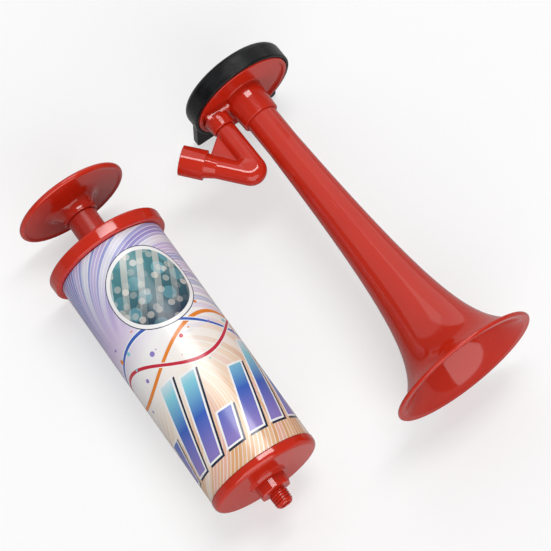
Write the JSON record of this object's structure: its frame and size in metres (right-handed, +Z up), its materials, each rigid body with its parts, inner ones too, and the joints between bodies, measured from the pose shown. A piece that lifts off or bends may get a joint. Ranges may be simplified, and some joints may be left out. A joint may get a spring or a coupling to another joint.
{
  "type": "hand pump air horn",
  "caption": "Push pump with a mushroom handle, labelled barrel and threaded outlet, lying beside the flared diaphragm horn whose elbow socket screws onto it.",
  "frame": {"origin": "on the floor under the middle of the whole, with the pump and the horn lying side by side as in the picture", "axes": "+Z up from the floor, +Y along the horn from its bell to its cap (the pump's handle end is also towards +Y), +X from the pump to the horn"},
  "size_m": [0.1528, 0.1678, 0.069],
  "materials": {
    "red_plastic": "glossy injection-moulded polypropylene",
    "printed_film": "glossy printed film sleeve",
    "black_plastic": "satin soft moulded plastic",
    "seal_rubber": "greased rubber",
    "steel": "zinc-plated",
    "clear_film": "clear film"
  },
  "bodies": {
    "pump": {"pump_barrel": "red_plastic", "barrel_label": "printed_film", "top_cap": "red_plastic"},
    "plunger": {"pump_rod": "red_plastic", "push_handle": "red_plastic", "piston_head": "red_plastic", "piston_washer": "steel", "piston_screw": "steel"},
    "seal": {"piston_ring": "seal_rubber"},
    "horn": {"horn_bell": "red_plastic", "horn_head": "red_plastic", "inlet_elbow": "red_plastic", "membrane": "clear_film", "membrane_ring": "black_plastic", "end_cap": "black_plastic"}
  },
  "joints": [
    {"name": "plunger_slide", "type": "slide", "parent": "pump", "child": "plunger", "axis": [0.0347, 0.9991, 0.0232], "range_m": [-0.017, 0.0797]},
    {"name": "seal_float", "type": "slide", "parent": "plunger", "child": "seal", "axis": [0.0347, 0.9991, 0.0232], "range_m": [-0.0012, 0]},
    {"name": "horn_set_down", "type": "slide", "parent": "pump", "child": "horn", "axis": [1, 0, 0], "range_m": [0, 0.12]}
  ]
}
